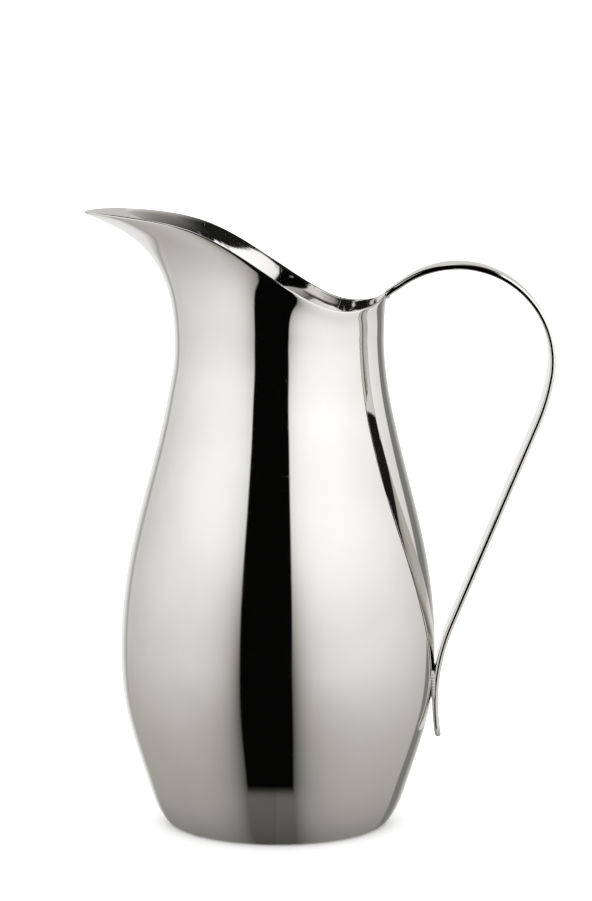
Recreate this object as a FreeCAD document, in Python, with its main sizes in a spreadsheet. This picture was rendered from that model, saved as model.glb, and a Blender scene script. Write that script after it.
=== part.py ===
import FreeCAD, Part
import math
import os

import Sketcher
from FreeCAD import Placement, Rotation, Vector

# A polished steel water pitcher, in millimetres.
# The origin is the centre of the foot ring, on the table. +Z is up, the pouring lip points
# along -X and the handle along +X, and the pitcher is symmetric about the XZ plane.

DIMENSIONS = {
    # body shell
    "wall": 1.0,
    "foot_inner_radius": 37.5,
    # base disc, set into the foot from inside
    "disc_thickness": 1.0,
    "disc_edge_radius": 40.2,
    "step_foot_radius": 34.5,
    "step_top_radius": 31.0,
    "step_height": 2.0,
    "step_slope_shift": 0.5,
    "seam_bead": 0.8,
    "seam_throat": 0.5,
    # handle strap, bent from one flat strip
    "strap_thickness": 2.5,
    "strap_root_width": 9.0,
    "strap_top_width": 27.0,
    "strap_tail_width": 18.0,
    "strap_edge_rounding": 1.0,
    "strap_tail_rounding": 4.0,
    "strap_flare_rounding": 40.0,
    "top_bend_radius": 38.3,
    "top_bend_x": 72.4,
    "top_bend_z": 191.6,
    "shoulder_bend_radius": 85.0,
    "shoulder_bend_z": 198.8,
    "lower_bend_radius": 83.3,
    "lower_bend_x": 148.05,
    "lower_bend_z": 51.8,
    "tail_end_z": 36.6,
    "root_end_x": 38.0,
    "root_end_z": 215.8,
    "root_seat_radius": 43.1,
    "flare_start_x": 39.0,
    "full_width_x": 70.0,
    "blank_margin": 5.0,
    # weld beads
    "root_bead_bend": 31.0,
    "root_bead_radius": 1.25,
    "root_bead_spread": 11.0,
    "root_bead_x": 44.35,
    "root_bead_z": 216.9,
    "side_bead_x": 63.85,
    "side_bead_y": 9.2,
    "side_bead_z": 58.5,
    "side_bead_length": 13.0,
    "side_bead_width": 3.4,
    "side_bead_depth": 1.8,
}

# Outer radius and height of the round body, from the foot ring up to the neck.
BODY_PROFILE = (
    (42.4, 0.0),
    (45.6, 1.0),
    (47.8, 3.5),
    (50.0, 7.4),
    (53.2, 15.9),
    (58.6, 32.7),
    (62.8, 49.6),
    (64.5, 73.0),
    (61.2, 108.0),
    (55.6, 132.9),
    (51.3, 149.4),
    (47.3, 165.8),
    (44.1, 182.2),
    (42.6, 198.0),
)

# How far the mouth reaches from the axis, by the angle from the handle's side, in degrees.
MOUTH_REACH = (
    (0.0, 43.8),
    (45.0, 43.8),
    (75.0, 43.9),
    (90.0, 44.0),
    (105.0, 44.9),
    (120.0, 49.0),
    (135.0, 58.0),
    (150.0, 69.0),
    (165.0, 76.8),
    (180.0, 79.5),
)

# The rim's height along X, from the lip's tip to the ear that carries the handle.
RIM_HEIGHT = (
    (-79.5, 250.2),
    (-55.0, 249.2),
    (-31.0, 244.0),
    (-4.0, 228.6),
    (16.0, 216.5),
    (30.0, 212.9),
    (36.0, 213.8),
    (39.6, 215.0),
    (42.5, 217.2),
    (43.8, 218.6),
)

# The wall rises straight from the neck and leans out by this much at the rim, in degrees
# from upright. Each handle is a share of the way up, for the cubic between neck and rim.
BACK_LEAN = 8.0
LIP_LEAN = 68.0
NECK_HANDLE = 0.75
RIM_HANDLE = 0.26

SECTIONS_AROUND = 48
FLARE_STEPS = 7
RIM_ARC_DEGREES = (0.0, 45.0, 90.0, 135.0, 180.0)

# An edge shorter than this many strap thicknesses runs across the strip's thickness.
ACROSS_LIMIT = 1.3
# Half the width of the band about the symmetry plane that holds no side edge, in mm.
MIDDLE_BAND = 1.0

UP = Vector(0, 0, 1)


def make_sheet(doc):
    """The driving dimensions, one alias per row."""
    sheet = doc.addObject("Spreadsheet::Sheet", "Dimensions")
    for row, (alias, value) in enumerate(DIMENSIONS.items(), start=1):
        sheet.set(f"A{row}", alias)
        sheet.set(f"B{row}", str(value))
        sheet.setAlias(f"B{row}", alias)
    doc.recompute()
    return sheet


def bind(target, **expressions):
    """Bind properties to expressions over the sheet's aliases."""
    for path, expression in expressions.items():
        target.setExpression(path.replace("__", "."), expression)


# ---------------------------------------------------------------- body shell


def function_curve(table):
    """A smooth curve through (argument, value) pairs, read at parameter = argument."""
    points = [Vector(argument, value, 0) for argument, value in table]
    curve = Part.BSplineCurve()
    curve.interpolate(Points=points, Parameters=[point.x for point in points])
    return curve


def mouth_reach_curve():
    """Mouth reach over the whole turn, mirrored about the lip so that it closes smoothly."""
    mirrored = [(360.0 - angle, reach) for angle, reach in reversed(MOUTH_REACH[:-1])]
    return function_curve(list(MOUTH_REACH) + mirrored)


def flare_point(start, end, lean, share):
    """A point on the cubic from the neck to the rim, as (radius, height)."""
    rise = end[1] - start[1]
    chord = math.hypot(end[0] - start[0], rise)
    reach = RIM_HANDLE * chord
    neck_handle = (start[0], start[1] + NECK_HANDLE * rise)
    rim_handle = (end[0] - reach * math.sin(lean), end[1] - reach * math.cos(lean))
    weights = (
        (1 - share) ** 3,
        3 * share * (1 - share) ** 2,
        3 * share**2 * (1 - share),
        share**3,
    )
    corners = (start, neck_handle, rim_handle, end)
    return tuple(sum(w * corner[axis] for w, corner in zip(weights, corners)) for axis in (0, 1))


def outer_rows():
    """Rows of points on the outer wall, from the foot ring to the rim."""
    angles = [360.0 * index / SECTIONS_AROUND for index in range(SECTIONS_AROUND)]
    reach_curve = mouth_reach_curve()
    rim_curve = function_curve(RIM_HEIGHT)
    rows = []
    for radius, height in BODY_PROFILE:
        rows.append([on_circle(radius, angle, height) for angle in angles])
    neck = BODY_PROFILE[-1]
    back_reach = MOUTH_REACH[0][1]
    lip_reach = MOUTH_REACH[-1][1]
    for step in range(1, FLARE_STEPS + 1):
        row = []
        for angle in angles:
            reach = reach_curve.value(angle).y
            rim_x = reach * math.cos(math.radians(angle))
            rim = (reach, rim_curve.value(rim_x).y)
            opened = (reach - back_reach) / (lip_reach - back_reach)
            lean = math.radians(BACK_LEAN + (LIP_LEAN - BACK_LEAN) * opened)
            radius, height = flare_point(neck, rim, lean, step / FLARE_STEPS)
            row.append(on_circle(radius, angle, height))
        rows.append(row)
    return rows


def on_circle(radius, angle, height):
    """The point at an angle, in degrees, and a distance from the axis."""
    turn = math.radians(angle)
    return Vector(radius * math.cos(turn), radius * math.sin(turn), height)


def closed_surface(rows, heights):
    """A smooth surface through rows of points, closed around the axis."""
    count = len(rows[0])
    turns = [index / count for index in range(count + 1)]
    rings = []
    for row in rows:
        ring = Part.BSplineCurve()
        ring.interpolate(Points=row, PeriodicFlag=True, Parameters=turns)
        rings.append(ring)
    poles = []
    for column in zip(*(ring.getPoles() for ring in rings)):
        curve = Part.BSplineCurve()
        curve.interpolate(Points=list(column), Parameters=heights)
        poles.append(curve.getPoles())
    surface = Part.BSplineSurface()
    surface.buildFromPolesMultsKnots(
        poles,
        rings[0].getMultiplicities(),
        curve.getMultiplicities(),
        rings[0].getKnots(),
        curve.getKnots(),
        True,
        False,
        rings[0].Degree,
        curve.Degree,
    )
    return surface


def mean_spacing(rows):
    """Parameters for the rows, by the mean distance from each row to the next."""
    total = 0.0
    parameters = [0.0]
    for lower, upper in zip(rows, rows[1:]):
        total += sum(a.distanceToPoint(b) for a, b in zip(lower, upper)) / len(lower)
        parameters.append(total)
    return parameters


def outward_normal(surface, turn, height, point):
    """The surface's unit normal at a point, turned away from the axis, or down at the foot."""
    normal = surface.normal(turn, height)
    outward = Vector(point.x, point.y, 0) - UP
    return normal if normal.dot(outward) > 0 else normal * -1


def annulus(outer_edge, inner_edge):
    """A flat ring between two closed edges at the same height."""
    height = outer_edge.Vertexes[0].Point.z
    plane = Part.Plane(Vector(0, 0, height), UP)
    face = Part.Face(plane, [Part.Wire([outer_edge]), Part.Wire([inner_edge])])
    face.validate()
    return face


def rim_rows(outer, height, turns, row, normals, wall):
    """Rows over the rounded rim, from the outer wall's last row to the inner wall's."""
    rows = []
    for degrees in RIM_ARC_DEGREES:
        outwards = math.cos(math.radians(degrees)) * wall / 2
        upwards = math.sin(math.radians(degrees)) * wall / 2
        arc_row = []
        for turn, point, normal in zip(turns, row, normals):
            along = outer.getDN(turn, height, 0, 1).normalize()
            middle = point - normal * (wall / 2)
            arc_row.append(middle + normal * outwards + along * upwards)
        rows.append(arc_row)
    return rows


def make_body_shell(doc, sheet):
    """One drawn wall of even thickness, with a rounded rim and a turned-in foot ring."""
    wall = sheet.wall
    foot_radius = sheet.foot_inner_radius
    rows = outer_rows()
    heights = mean_spacing(rows)
    turns = [index / SECTIONS_AROUND for index in range(SECTIONS_AROUND)]
    outer = closed_surface(rows, heights)

    inner_rows = [[point + UP * wall for point in rows[0]]]
    for row, height in zip(rows[1:], heights[1:]):
        normals = [outward_normal(outer, turn, height, p) for turn, p in zip(turns, row)]
        inner_rows.append([point - normal * wall for point, normal in zip(row, normals)])
    inner = closed_surface(inner_rows, heights)
    arc_rows = rim_rows(outer, heights[-1], turns, rows[-1], normals, wall)
    rim = closed_surface(arc_rows, list(RIM_ARC_DEGREES))

    outer_foot = outer.vIso(heights[0]).toShape()
    inner_foot = inner.vIso(heights[0]).toShape()
    low_ring = Part.makeCircle(foot_radius, Vector(0, 0, 0), UP)
    high_ring = Part.makeCircle(foot_radius, Vector(0, 0, wall), UP)
    faces = [
        outer.toShape(),
        rim.toShape(),
        inner.toShape(),
        annulus(inner_foot, high_ring),
        Part.makeCylinder(foot_radius, wall).Faces[0],
        annulus(outer_foot, low_ring),
    ]
    shell = Part.makeShell(faces)
    shell.sewShape()
    solid = Part.makeSolid(shell)
    if solid.Volume < 0:
        solid.reverse()
    body = doc.addObject("Part::Feature", "body_shell")
    body.Shape = solid
    body.Placement = Placement()
    return body


# ---------------------------------------------------------------- sketches


def origin_plane(body, role):
    """One of a body's own origin planes."""
    return next(plane for plane in body.Origin.OriginFeatures if plane.Role == role)


def sketch_on(body, role, name):
    """An empty sketch on one of a body's origin planes."""
    sketch = body.newObject("Sketcher::SketchObject", name)
    sketch.AttachmentSupport = [(origin_plane(body, role), "")]
    sketch.MapMode = "FlatFace"
    return sketch


def drive(sketch, kind, *where, expression, value):
    """Add one dimension to a sketch and bind it to the sheet."""
    index = sketch.addConstraint(Sketcher.Constraint(kind, *where, value))
    sketch.setExpression(f"Constraints[{index}]", expression)


def spelled_out(expression):
    """The expression with each alias led by the sheet's name."""
    words = expression.split()
    return " ".join(f"Dimensions.{word}" if word in DIMENSIONS else word for word in words)


def outline(sketch, sheet, corners):
    """A closed polygon whose corners are held at distances named in the sheet."""
    places = []
    for corner in corners:
        x, y = (float(sheet.evalExpression(spelled_out(text))) for text in corner)
        places.append(Vector(x, y, 0))
    for start, end in zip(places, places[1:] + places[:1]):
        sketch.addGeometry(Part.LineSegment(start, end))
    for index, ((x, y), place) in enumerate(zip(corners, places)):
        before = (index - 1) % len(corners)
        sketch.addConstraint(Sketcher.Constraint("Coincident", before, 2, index, 1))
        for kind, text, value in (("DistanceX", x, place.x), ("DistanceY", y, place.y)):
            if text == "0":
                axis = -2 if kind == "DistanceX" else -1
                sketch.addConstraint(Sketcher.Constraint("PointOnObject", index, 1, axis))
            else:
                drive(sketch, kind, -1, 1, index, 1, expression=spelled_out(text), value=value)


def revolved_body(doc, sheet, name, corners):
    """A PartDesign body turned about Z from a polygon in the XZ plane."""
    body = doc.addObject("PartDesign::Body", name)
    sketch = sketch_on(body, "XZ_Plane", f"{name}_section")
    outline(sketch, sheet, corners)
    turned = body.newObject("PartDesign::Revolution", f"{name}_turned")
    turned.Profile = sketch
    turned.ReferenceAxis = (sketch, ["V_Axis"])
    turned.Angle = 360.0
    doc.recompute()
    return body


# ---------------------------------------------------------------- base


def make_base_disc(doc, sheet):
    """A pressed disc: a flat edge that laps the foot ring and a raised middle."""
    return revolved_body(
        doc,
        sheet,
        "base_disc",
        [
            ("0", "wall + step_height"),
            ("step_top_radius", "wall + step_height"),
            ("step_foot_radius", "wall"),
            ("disc_edge_radius", "wall"),
            ("disc_edge_radius", "wall + disc_thickness"),
            ("step_foot_radius + step_slope_shift", "wall + disc_thickness"),
            ("step_top_radius + step_slope_shift", "wall + step_height + disc_thickness"),
            ("0", "wall + step_height + disc_thickness"),
        ],
    )


def make_base_seam_weld(doc, sheet):
    """A bead underneath, in the corner between the foot ring's inner edge and the disc."""
    return revolved_body(
        doc,
        sheet,
        "base_seam_weld",
        [
            ("foot_inner_radius", "wall"),
            ("foot_inner_radius - seam_bead", "wall"),
            ("foot_inner_radius - seam_throat", "wall - seam_throat"),
            ("foot_inner_radius", "wall - seam_bead"),
        ],
    )


# ---------------------------------------------------------------- handle


def strap_bends(sheet):
    """Centres and turning points of the strap's three bends, in the side view."""
    top = Vector(sheet.top_bend_x, sheet.top_bend_z, 0)
    low = Vector(sheet.lower_bend_x, sheet.lower_bend_z, 0)
    root = Vector(sheet.root_end_x, sheet.root_end_z, 0)
    apart = sheet.shoulder_bend_radius - sheet.top_bend_radius
    turn = -math.asin((sheet.shoulder_bend_z - top.y) / apart)
    shoulder = top - toward(turn) * apart
    run = low - shoulder
    reach = sheet.shoulder_bend_radius + sheet.lower_bend_radius
    join = math.atan2(run.y, run.x) + math.acos(reach / run.Length)
    tail = math.pi + math.asin((low.y - sheet.tail_end_z) / sheet.lower_bend_radius)
    outward = root - top
    start = math.atan2(outward.y, outward.x)
    start -= math.acos((sheet.top_bend_radius + sheet.strap_thickness / 2) / outward.Length)
    return top, shoulder, low, root, start, turn, join, tail


def toward(angle):
    """The unit vector at an angle, in radians, in the side view."""
    return Vector(math.cos(angle), math.sin(angle), 0)


def strap_side_sketch(body, sheet):
    """The strap seen from the side: a straight root, three bends and a straight run."""
    sketch = sketch_on(body, "XZ_Plane", "strap_side")
    half = sheet.strap_thickness / 2
    top, shoulder, low, root, start, turn, join, tail = strap_bends(sheet)
    root_run = root - (top + toward(start) * (sheet.top_bend_radius + half))

    def bend(centre, radius, first, last):
        circle = Part.Circle(centre, Vector(0, 0, 1), radius)
        return sketch.addGeometry(Part.ArcOfCircle(circle, first, last))

    def line(first, last):
        return sketch.addGeometry(Part.LineSegment(first, last))

    def constrain(kind, *where):
        sketch.addConstraint(Sketcher.Constraint(kind, *where))

    def radius_of(curve, bend_name, sign, value):
        spelled = f"Dimensions.{bend_name}_bend_radius {sign} Dimensions.strap_thickness / 2"
        drive(sketch, "Radius", curve, expression=spelled, value=value)

    sides = []
    for offset, plus, minus in ((half, "+", "-"), (-half, "-", "+")):
        top_radius = sheet.top_bend_radius + offset
        shoulder_radius = sheet.shoulder_bend_radius + offset
        low_radius = sheet.lower_bend_radius - offset
        arc_start = top + toward(start) * top_radius
        run_start = shoulder + toward(join) * shoulder_radius
        run_end = low - toward(join) * low_radius
        root_line = line(arc_start + root_run, arc_start)
        top_arc = bend(top, top_radius, turn, start)
        shoulder_arc = bend(shoulder, shoulder_radius, join, turn)
        run_line = line(run_start, run_end)
        low_arc = bend(low, low_radius, join + math.pi, tail)
        constrain("Tangent", root_line, 2, top_arc, 2)
        constrain("Tangent", top_arc, 1, shoulder_arc, 2)
        constrain("Tangent", shoulder_arc, 1, run_line, 1)
        constrain("Tangent", run_line, 2, low_arc, 1)
        radius_of(top_arc, "top", plus, top_radius)
        radius_of(low_arc, "lower", minus, low_radius)
        sides.append((root_line, top_arc, shoulder_arc, run_line, low_arc))

    outer, inner = sides
    radius_of(outer[2], "shoulder", "+", sheet.shoulder_bend_radius + half)
    tail_inner = low + toward(tail) * (sheet.lower_bend_radius - half)
    tail_end = line(tail_inner, tail_inner + toward(tail) * sheet.strap_thickness)
    root_end = line(root, root - toward(start) * sheet.strap_thickness)
    constrain("Coincident", outer[4], 2, tail_end, 1)
    constrain("Coincident", tail_end, 2, inner[4], 2)
    constrain("Coincident", outer[0], 1, root_end, 1)
    constrain("Coincident", root_end, 2, inner[0], 1)
    for bend_number in (1, 2, 4):
        constrain("Coincident", outer[bend_number], 3, inner[bend_number], 3)
    constrain("PointOnObject", outer[4], 3, tail_end)
    constrain("Perpendicular", root_end, outer[0])
    constrain("Parallel", outer[0], inner[0])
    for place, kind, alias, value in (
        ((outer[1], 3), "DistanceX", "top_bend_x", top.x),
        ((outer[1], 3), "DistanceY", "top_bend_z", top.y),
        ((outer[2], 3), "DistanceY", "shoulder_bend_z", shoulder.y),
        ((outer[4], 3), "DistanceX", "lower_bend_x", low.x),
        ((outer[4], 3), "DistanceY", "lower_bend_z", low.y),
        ((outer[4], 2), "DistanceY", "tail_end_z", sheet.tail_end_z),
        ((outer[0], 1), "DistanceX", "root_end_x", root.x),
        ((outer[0], 1), "DistanceY", "root_end_z", root.y),
    ):
        drive(sketch, kind, -1, 1, *place, expression=f"Dimensions.{alias}", value=value)
    return sketch


def padded_body(doc, name, draw, length):
    """A PartDesign body padded from one sketch by an expression's length."""
    body = doc.addObject("PartDesign::Body", name)
    sketch = draw(body)
    doc.recompute()
    pad = body.newObject("PartDesign::Pad", f"{name}_pad")
    pad.Profile = sketch
    pad.SideType = "Symmetric"
    bind(pad, Length=length)
    doc.recompute()
    return body


def plan_sketch(body, sheet):
    """The strap from above: narrow at the root, then opening to its full width."""
    sketch = sketch_on(body, "XY_Plane", "strap_plan_outline")
    corners = [
        ("root_end_x - blank_margin", "strap_root_width / 2"),
        ("flare_start_x", "strap_root_width / 2"),
        ("full_width_x", "strap_top_width / 2"),
        ("lower_bend_x", "strap_top_width / 2"),
        ("lower_bend_x", "strap_top_width / -2"),
        ("full_width_x", "strap_top_width / -2"),
        ("flare_start_x", "strap_root_width / -2"),
        ("root_end_x - blank_margin", "strap_root_width / -2"),
    ]
    outline(sketch, sheet, corners)
    return sketch


def front_sketch(body, sheet):
    """The strap from behind: tapering towards the tail."""
    sketch = sketch_on(body, "YZ_Plane", "strap_front_outline")
    corners = [
        ("strap_tail_width / -2", "tail_end_z - blank_margin"),
        ("strap_tail_width / 2", "tail_end_z - blank_margin"),
        ("strap_top_width / 2", "shoulder_bend_z + top_bend_radius"),
        ("strap_top_width / -2", "shoulder_bend_z + top_bend_radius"),
    ]
    outline(sketch, sheet, corners)
    return sketch


def thickness_edges(shape, sheet):
    """Edges across the strip's thickness, with the rounding each one gets."""
    found = []
    for number, edge in enumerate(shape.Edges, start=1):
        start = edge.Vertexes[0].Point
        if edge.Length > sheet.strap_thickness * ACROSS_LIMIT:
            continue
        if start.z < sheet.tail_end_z + sheet.strap_thickness:
            found.append((number, sheet.strap_tail_rounding))
        elif start.z > sheet.top_bend_z and start.x > sheet.full_width_x - sheet.blank_margin:
            found.append((number, sheet.strap_flare_rounding))
    return found


def side_edges(shape, sheet):
    """Edges along the strip's two sides and round the tail, with their rounding."""
    found = []
    for number, edge in enumerate(shape.Edges, start=1):
        middle = edge.valueAt((edge.FirstParameter + edge.LastParameter) / 2)
        across = edge.Length < sheet.strap_thickness * ACROSS_LIMIT
        at_root = math.hypot(middle.x, middle.y) < sheet.root_seat_radius + MIDDLE_BAND
        inside = abs(middle.y) < MIDDLE_BAND and middle.z > sheet.tail_end_z + sheet.blank_margin
        if not across and not at_root and not inside:
            found.append((number, sheet.strap_edge_rounding))
    return found


def rounded(doc, name, base, edges):
    """A fillet over numbered edges, each with a rounding of its own."""
    fillet = doc.addObject("Part::Fillet", name)
    fillet.Base = base
    fillet.Edges = [(number, radius, radius) for number, radius in edges]
    doc.recompute()
    return fillet


def make_handle_strap(doc, sheet, body_shell):
    """A tapered strip, bent, rounded along its edges and fitted to the wall at its root."""
    width = "Dimensions.strap_top_width + Dimensions.blank_margin"
    blank = padded_body(doc, "strap_blank", lambda body: strap_side_sketch(body, sheet), width)
    height = "2 * (Dimensions.shoulder_bend_z + Dimensions.top_bend_radius)"
    plan = padded_body(doc, "strap_plan", lambda body: plan_sketch(body, sheet), height)
    depth = "2 * Dimensions.lower_bend_x"
    front = padded_body(doc, "strap_front", lambda body: front_sketch(body, sheet), depth)
    strip = doc.addObject("Part::MultiCommon", "strap_strip")
    strip.Shapes = [blank, plan, front]
    doc.recompute()
    seat = doc.addObject("Part::Cylinder", "root_seat")
    bind(seat, Radius="Dimensions.root_seat_radius", Height="2 * Dimensions.root_end_z")
    seated = cut_from(doc, "strap_seated", strip, [seat])
    cornered = rounded(doc, "strap_cornered", seated, thickness_edges(seated.Shape, sheet))
    smoothed = rounded(doc, "strap_smoothed", cornered, side_edges(cornered.Shape, sheet))
    return cut_from(doc, "handle_strap", smoothed, [body_shell])


def cut_from(doc, name, base, tools):
    """Cut each tool from the base in turn; the last cut is the finished piece."""
    piece = base
    for index, tool in enumerate(tools, start=1):
        last = index == len(tools)
        cut = doc.addObject("Part::Cut", name if last else f"{name}_cut_{index}")
        cut.Base = piece
        cut.Tool = tool
        cut.Refine = False
        piece = cut
    doc.recompute()
    return piece


def make_lower_handle_weld(doc, name, side, neighbours):
    """A bead along one edge of the strap, where the flat strap leaves the round belly."""
    bead = doc.addObject("Part::Ellipsoid", f"{name}_bead")
    bind(
        bead,
        Radius1="Dimensions.side_bead_length / 2",
        Radius2="Dimensions.side_bead_depth / 2",
        Radius3="Dimensions.side_bead_width / 2",
        Placement__Base__x="Dimensions.side_bead_x",
        Placement__Base__y=f"{side} * Dimensions.side_bead_y",
        Placement__Base__z="Dimensions.side_bead_z",
    )
    return cut_from(doc, name, bead, neighbours)


def make_upper_handle_weld(doc, sheet, neighbours):
    """A bead under the strap's root, along the line where the strap meets the wall."""
    ring = doc.addObject("Part::Torus", "root_bead")
    bind(
        ring,
        Radius1="Dimensions.root_bead_bend",
        Radius2="Dimensions.root_bead_radius",
        Angle3="2 * Dimensions.root_bead_spread",
    )
    # The bead's plane leans with the strap's slope at the root.
    start = strap_bends(sheet)[4]
    lean = Rotation(Vector(0, 1, 0), 90 - math.degrees(start))
    junction = Vector(sheet.root_bead_x, 0, sheet.root_bead_z)
    centre = junction - lean.multVec(Vector(sheet.root_bead_bend, 0, 0))
    ring.Placement = Placement(centre, lean * Rotation(UP, -sheet.root_bead_spread))
    return cut_from(doc, "upper_handle_weld", ring, neighbours)


# ---------------------------------------------------------------- whole pitcher


def check(doc, pieces):
    """Stop if any object failed, or if a piece isn't one sound solid."""
    for item in doc.Objects:
        if "Invalid" in item.State or "Error" in item.State:
            raise RuntimeError(f"{item.Name} is {item.State}")
    for piece in pieces:
        shape = piece.Shape
        if shape.isNull() or not shape.isValid():
            raise RuntimeError(f"{piece.Label} has no valid shape")
        if len(shape.Solids) != 1 or shape.Volume <= 0:
            raise RuntimeError(f"{piece.Label} has {len(shape.Solids)} solids")
        box = shape.BoundBox
        print(
            f"{piece.Label}: {shape.Volume:.1f} mm3,"
            f" x {box.XMin:.2f}..{box.XMax:.2f},"
            f" y {box.YMin:.2f}..{box.YMax:.2f},"
            f" z {box.ZMin:.2f}..{box.ZMax:.2f}"
        )


def main():
    doc = FreeCAD.newDocument("WaterPitcher")
    sheet = make_sheet(doc)
    body_shell = make_body_shell(doc, sheet)
    base_disc = make_base_disc(doc, sheet)
    base_seam_weld = make_base_seam_weld(doc, sheet)
    strap = make_handle_strap(doc, sheet, body_shell)
    neighbours = [body_shell, strap]
    left_weld = make_lower_handle_weld(doc, "lower_handle_weld_left", 1, neighbours)
    right_weld = make_lower_handle_weld(doc, "lower_handle_weld_right", -1, neighbours)
    upper_weld = make_upper_handle_weld(doc, sheet, neighbours)
    doc.recompute()

    pieces = [
        body_shell,
        base_disc,
        base_seam_weld,
        strap,
        left_weld,
        right_weld,
        upper_weld,
    ]
    check(doc, pieces)
    os.makedirs("parts", exist_ok=True)
    for piece in pieces:
        piece.Shape.exportStep(os.path.join("parts", f"{piece.Label}.step"))


main()
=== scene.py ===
"""A mirror-polished steel water pitcher on a pale floor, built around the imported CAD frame."""
import math

import bmesh
import bpy
import numpy as np
from mathutils import Matrix, Vector


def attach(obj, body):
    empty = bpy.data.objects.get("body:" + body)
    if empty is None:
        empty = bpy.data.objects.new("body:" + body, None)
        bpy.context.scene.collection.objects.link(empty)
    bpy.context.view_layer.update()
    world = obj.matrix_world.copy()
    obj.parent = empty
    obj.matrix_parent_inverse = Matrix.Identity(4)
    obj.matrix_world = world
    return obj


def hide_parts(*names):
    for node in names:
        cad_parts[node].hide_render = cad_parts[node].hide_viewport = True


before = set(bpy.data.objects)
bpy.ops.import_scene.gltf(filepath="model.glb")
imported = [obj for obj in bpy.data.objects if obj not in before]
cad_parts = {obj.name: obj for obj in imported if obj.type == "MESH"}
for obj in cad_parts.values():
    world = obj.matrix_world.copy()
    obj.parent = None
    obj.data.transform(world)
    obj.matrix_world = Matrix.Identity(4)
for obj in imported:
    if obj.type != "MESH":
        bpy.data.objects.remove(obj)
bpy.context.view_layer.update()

# Everything is in metres, in the frame's axes: +Z up, the pouring lip towards -X, the handle
# towards +X, and the foot ring's centre at the origin.
MM = 0.001

# ---------------------------------------------------------------- shape, in mm, as in the CAD source

WALL = 1.0
FOOT_INNER_RADIUS = 37.5
BODY_PROFILE = (
    (42.4, 0.0),
    (45.6, 1.0),
    (47.8, 3.5),
    (50.0, 7.4),
    (53.2, 15.9),
    (58.6, 32.7),
    (62.8, 49.6),
    (64.5, 73.0),
    (61.2, 108.0),
    (55.6, 132.9),
    (51.3, 149.4),
    (47.3, 165.8),
    (44.1, 182.2),
    (42.6, 198.0),
)
MOUTH_REACH = (
    (0.0, 43.8),
    (45.0, 43.8),
    (75.0, 43.9),
    (90.0, 44.0),
    (105.0, 44.9),
    (120.0, 49.0),
    (135.0, 58.0),
    (150.0, 69.0),
    (165.0, 76.8),
    (180.0, 79.5),
)
RIM_HEIGHT = (
    (-79.5, 250.2),
    (-55.0, 249.2),
    (-31.0, 244.0),
    (-4.0, 228.6),
    (16.0, 216.5),
    (30.0, 212.9),
    (36.0, 213.8),
    (39.6, 215.0),
    (42.5, 217.2),
    (43.8, 218.6),
)
BACK_LEAN = 8.0
LIP_LEAN = 68.0
NECK_HANDLE = 0.75
RIM_HANDLE = 0.26
FLARE_STEPS = 7

COLUMNS = 288
ROWS = 160
# The rounded rim takes this much of the wall's height, so that it ends where the wall does.
RIM_SETBACK = 0.35


def spline(knots, values, at):
    """A cubic spline through rows of values, whose end slopes come from the nearest three."""
    knots = np.asarray(knots, float)
    values = np.asarray(values, float)
    step = np.diff(knots)
    rise = np.diff(values, axis=0) / step.reshape(-1, *[1] * (values.ndim - 1))
    count = len(knots)
    matrix = np.zeros((count, count))
    right = np.zeros_like(values)
    for i in range(1, count - 1):
        matrix[i, i - 1] = step[i]
        matrix[i, i] = 2 * (step[i - 1] + step[i])
        matrix[i, i + 1] = step[i - 1]
        right[i] = 3 * (step[i] * rise[i - 1] + step[i - 1] * rise[i])
    matrix[0, 0] = matrix[-1, -1] = 1
    right[0] = rise[0] - (rise[1] - rise[0]) * step[0] / (step[0] + step[1])
    right[-1] = rise[-1] + (rise[-1] - rise[-2]) * step[-1] / (step[-1] + step[-2])
    slopes = np.linalg.solve(matrix, right.reshape(count, -1)).reshape(values.shape)

    at = np.atleast_1d(np.asarray(at, float))
    span = np.clip(np.searchsorted(knots, at) - 1, 0, count - 2)
    width = step[span]
    shape = (-1, *[1] * (values.ndim - 1))
    t = ((at - knots[span]) / width).reshape(shape)
    width = width.reshape(shape)
    low = (1 + 2 * t) * (1 - t) ** 2 * values[span] + t * (1 - t) ** 2 * width * slopes[span]
    high = t**2 * (3 - 2 * t) * values[span + 1] - t**2 * (1 - t) * width * slopes[span + 1]
    return low + high


def mouth_reach(angles):
    """How far the mouth reaches from the axis, by the angle from the handle's side."""
    table = MOUTH_REACH + tuple((360.0 - a, r) for a, r in reversed(MOUTH_REACH[:-1]))
    return spline([a for a, _ in table], [r for _, r in table], angles)


def rim_height(x):
    return spline([a for a, _ in RIM_HEIGHT], [z for _, z in RIM_HEIGHT], x)


def wall_rows(angles):
    """The outer wall's guide rows, from foot to rim: radius and height by angle, in mm."""
    reach = mouth_reach(angles)
    rim = rim_height(reach * np.cos(np.radians(angles)))
    rows = [np.stack([np.full_like(angles, r), np.full_like(angles, z)], -1) for r, z in BODY_PROFILE]
    neck = np.array(BODY_PROFILE[-1])
    opened = (reach - MOUTH_REACH[0][1]) / (MOUTH_REACH[-1][1] - MOUTH_REACH[0][1])
    lean = np.radians(BACK_LEAN + (LIP_LEAN - BACK_LEAN) * opened)
    end = np.stack([reach, rim], -1)
    rise = rim - neck[1]
    handle = RIM_HANDLE * np.hypot(reach - neck[0], rise)
    first = np.stack([np.full_like(rise, neck[0]), neck[1] + NECK_HANDLE * rise], -1)
    last = end - handle[:, None] * np.stack([np.sin(lean), np.cos(lean)], -1)
    for step in range(1, FLARE_STEPS + 1):
        t = step / FLARE_STEPS
        rows.append(
            (1 - t) ** 3 * neck + 3 * t * (1 - t) ** 2 * first + 3 * t**2 * (1 - t) * last + t**3 * end
        )
    return np.array(rows)


def around(section, angles):
    """Points in space, in metres, from radius and height by angle."""
    turn = np.radians(angles)
    radius, height = section[..., 0], section[..., 1]
    return np.stack([radius * np.cos(turn), radius * np.sin(turn), height], -1) * MM


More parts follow.
